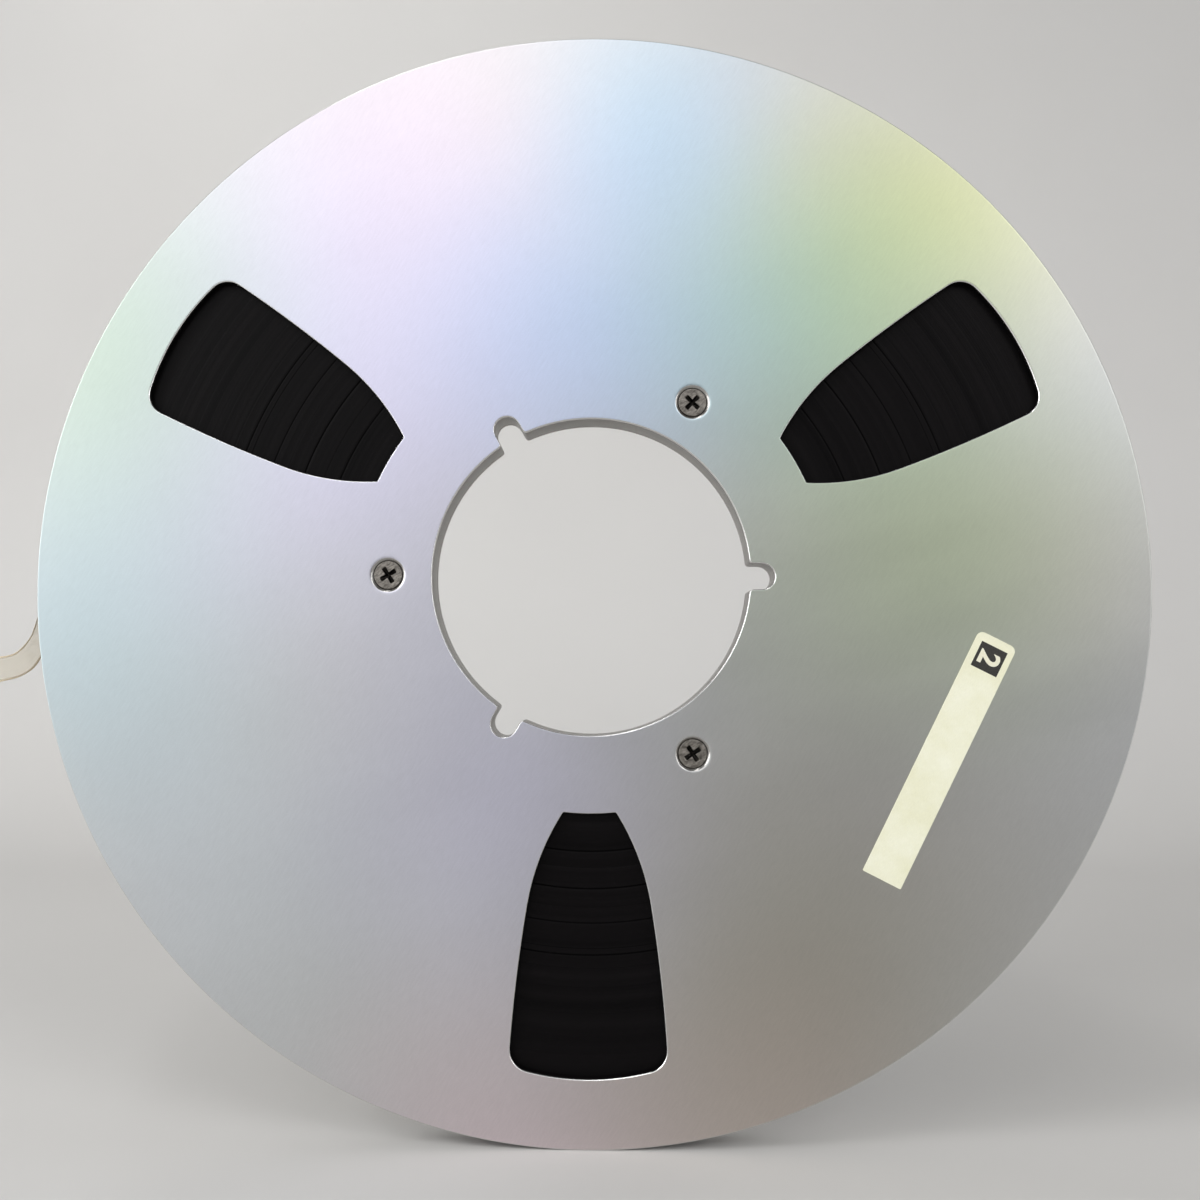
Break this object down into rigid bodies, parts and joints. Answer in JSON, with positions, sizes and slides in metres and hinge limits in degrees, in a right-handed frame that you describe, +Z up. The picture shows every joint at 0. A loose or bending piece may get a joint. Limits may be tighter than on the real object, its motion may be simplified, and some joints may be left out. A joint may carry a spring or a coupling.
{
  "type": "tape reel",
  "caption": "Full-size metal tape reel, wound full, with windowed flanges, a keyed ring hub, a cream label and a short free end of leader.",
  "frame": {"origin": "middle of the hub's bore, halfway between the flanges", "axes": "Y is the reel's axis and the labelled front faces -Y; +Z is up as the reel stands on its rim; +X is to the right seen from the front, with a keyway at +X"},
  "size_m": [0.2904, 0.0102, 0.2666],
  "materials": {
    "flange_aluminium": "satin anodised",
    "hub_aluminium": "fine turned",
    "screw_nickel": "dull nickel plate, scratched",
    "tape_black": "satin edges of wound film",
    "leader_film": "smooth translucent film",
    "label_paper": "matt, slightly aged"
  },
  "bodies": {
    "root": {"front_flange": "flange_aluminium", "rear_flange": "flange_aluminium", "hub": "hub_aluminium", "front_screw_1": "screw_nickel", "front_screw_2": "screw_nickel", "front_screw_3": "screw_nickel", "rear_screw_1": "screw_nickel", "rear_screw_2": "screw_nickel", "rear_screw_3": "screw_nickel", "tape_pack": "tape_black", "leader_wrap": "leader_film", "leader_tail": "leader_film", "label": "label_paper"}
  },
  "joints": []
}
